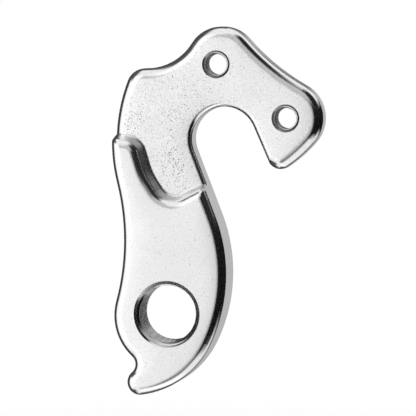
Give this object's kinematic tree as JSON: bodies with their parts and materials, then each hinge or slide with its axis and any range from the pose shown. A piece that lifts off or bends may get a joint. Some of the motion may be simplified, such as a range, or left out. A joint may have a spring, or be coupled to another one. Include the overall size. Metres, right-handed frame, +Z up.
{
  "type": "bicycle derailleur hanger",
  "caption": "Aluminium bracket that bolts inside a bicycle's rear dropout and carries the rear derailleur, with an open axle slot and a stop hook at its foot.",
  "frame": {"origin": "on the axis of the derailleur's thread, half-way through the limb's thickness", "axes": "+X forwards along the bicycle, +Y inwards to the wheel along the axle, +Z up towards the upper frame bolt; the outer face is towards -Y"},
  "size_m": [0.0329, 0.008, 0.0578],
  "materials": {
    "polished_aluminium": "polished casting with a fine grain, and small pits in the recessed face"
  },
  "bodies": {
    "root": {"hanger": "polished_aluminium"}
  },
  "joints": []
}
